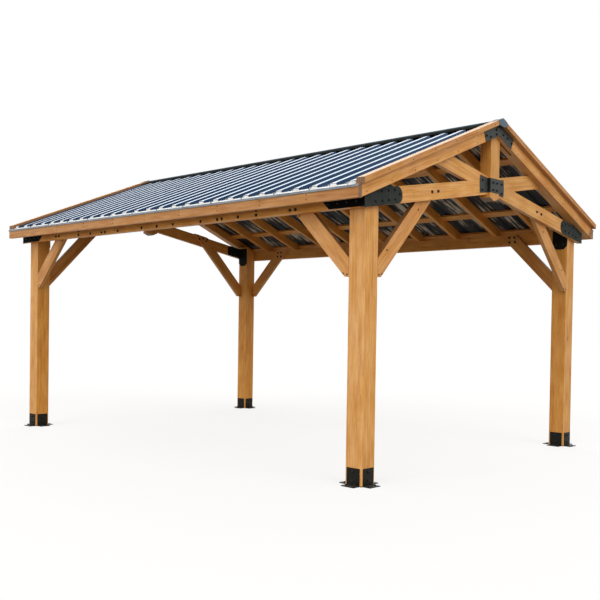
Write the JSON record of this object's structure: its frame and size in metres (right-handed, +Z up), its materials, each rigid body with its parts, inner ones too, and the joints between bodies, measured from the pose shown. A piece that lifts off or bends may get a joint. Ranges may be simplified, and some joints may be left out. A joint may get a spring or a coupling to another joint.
{
  "type": "gazebo",
  "caption": "Open timber gazebo with a ribbed steel gable roof, scissor trusses with king posts, knee braces, and square posts in steel shoes.",
  "frame": {"origin": "on the ground under the middle of the roof", "axes": "+X along the ridge, +Y from the front eave to the back eave, +Z up"},
  "size_m": [4.829, 3.637, 2.8422],
  "materials": {
    "frame_wood": "stained, satin",
    "trim_wood": "stained, satin",
    "bracket_steel": "powder coated, satin",
    "roof_steel": "painted, satin",
    "cap_steel": "painted, satin",
    "trim_steel": "painted, satin"
  },
  "bodies": {
    "root": {"barge_boards_left": "trim_wood", "barge_boards_right": "trim_wood", "barge_hood_left": "cap_steel", "barge_hood_right": "cap_steel", "collar_strap_left": "bracket_steel", "collar_strap_right": "bracket_steel", "common_rafters_back": "frame_wood", "common_rafters_front": "frame_wood", "corner_bracket_back_left": "bracket_steel", "corner_bracket_back_right": "bracket_steel", "corner_bracket_front_left": "bracket_steel", "corner_bracket_front_right": "bracket_steel", "drip_edge_back": "trim_steel", "drip_edge_front": "trim_steel", "eave_beam_back": "frame_wood", "eave_beam_front": "frame_wood", "eave_brace_back_left": "frame_wood", "eave_brace_back_right": "frame_wood", "eave_brace_front_left": "frame_wood", "eave_brace_front_right": "frame_wood", "fascia_back": "trim_wood", "fascia_front": "trim_wood", "fly_rafters_left": "trim_wood", "fly_rafters_right": "trim_wood", "fly_spacers_left": "frame_wood", "fly_spacers_right": "frame_wood", "gable_brace_back_left": "frame_wood", "gable_brace_back_right": "frame_wood", "gable_brace_front_left": "frame_wood", "gable_brace_front_right": "frame_wood", "king_post_left": "frame_wood", "king_post_right": "frame_wood", "peak_gusset_left": "bracket_steel", "peak_gusset_right": "bracket_steel", "post_back_left": "frame_wood", "post_back_right": "frame_wood", "post_front_left": "frame_wood", "post_front_right": "frame_wood", "post_hangers_left": "bracket_steel", "post_hangers_right": "bracket_steel", "post_shoe_back_left": "bracket_steel", "post_shoe_back_right": "bracket_steel", "post_shoe_front_left": "bracket_steel", "post_shoe_front_right": "bracket_steel", "purlins_back": "frame_wood", "purlins_front": "frame_wood", "ridge_board": "frame_wood", "ridge_cap": "cap_steel", "roof_sheet_back": "roof_steel", "roof_sheet_front": "roof_steel", "scissor_chord_back_left": "frame_wood", "scissor_chord_back_right": "frame_wood", "scissor_chord_front_left": "frame_wood", "scissor_chord_front_right": "frame_wood", "scissor_struts_left": "frame_wood", "scissor_struts_right": "frame_wood", "top_chords_left": "frame_wood", "top_chords_right": "frame_wood"}
  },
  "joints": []
}
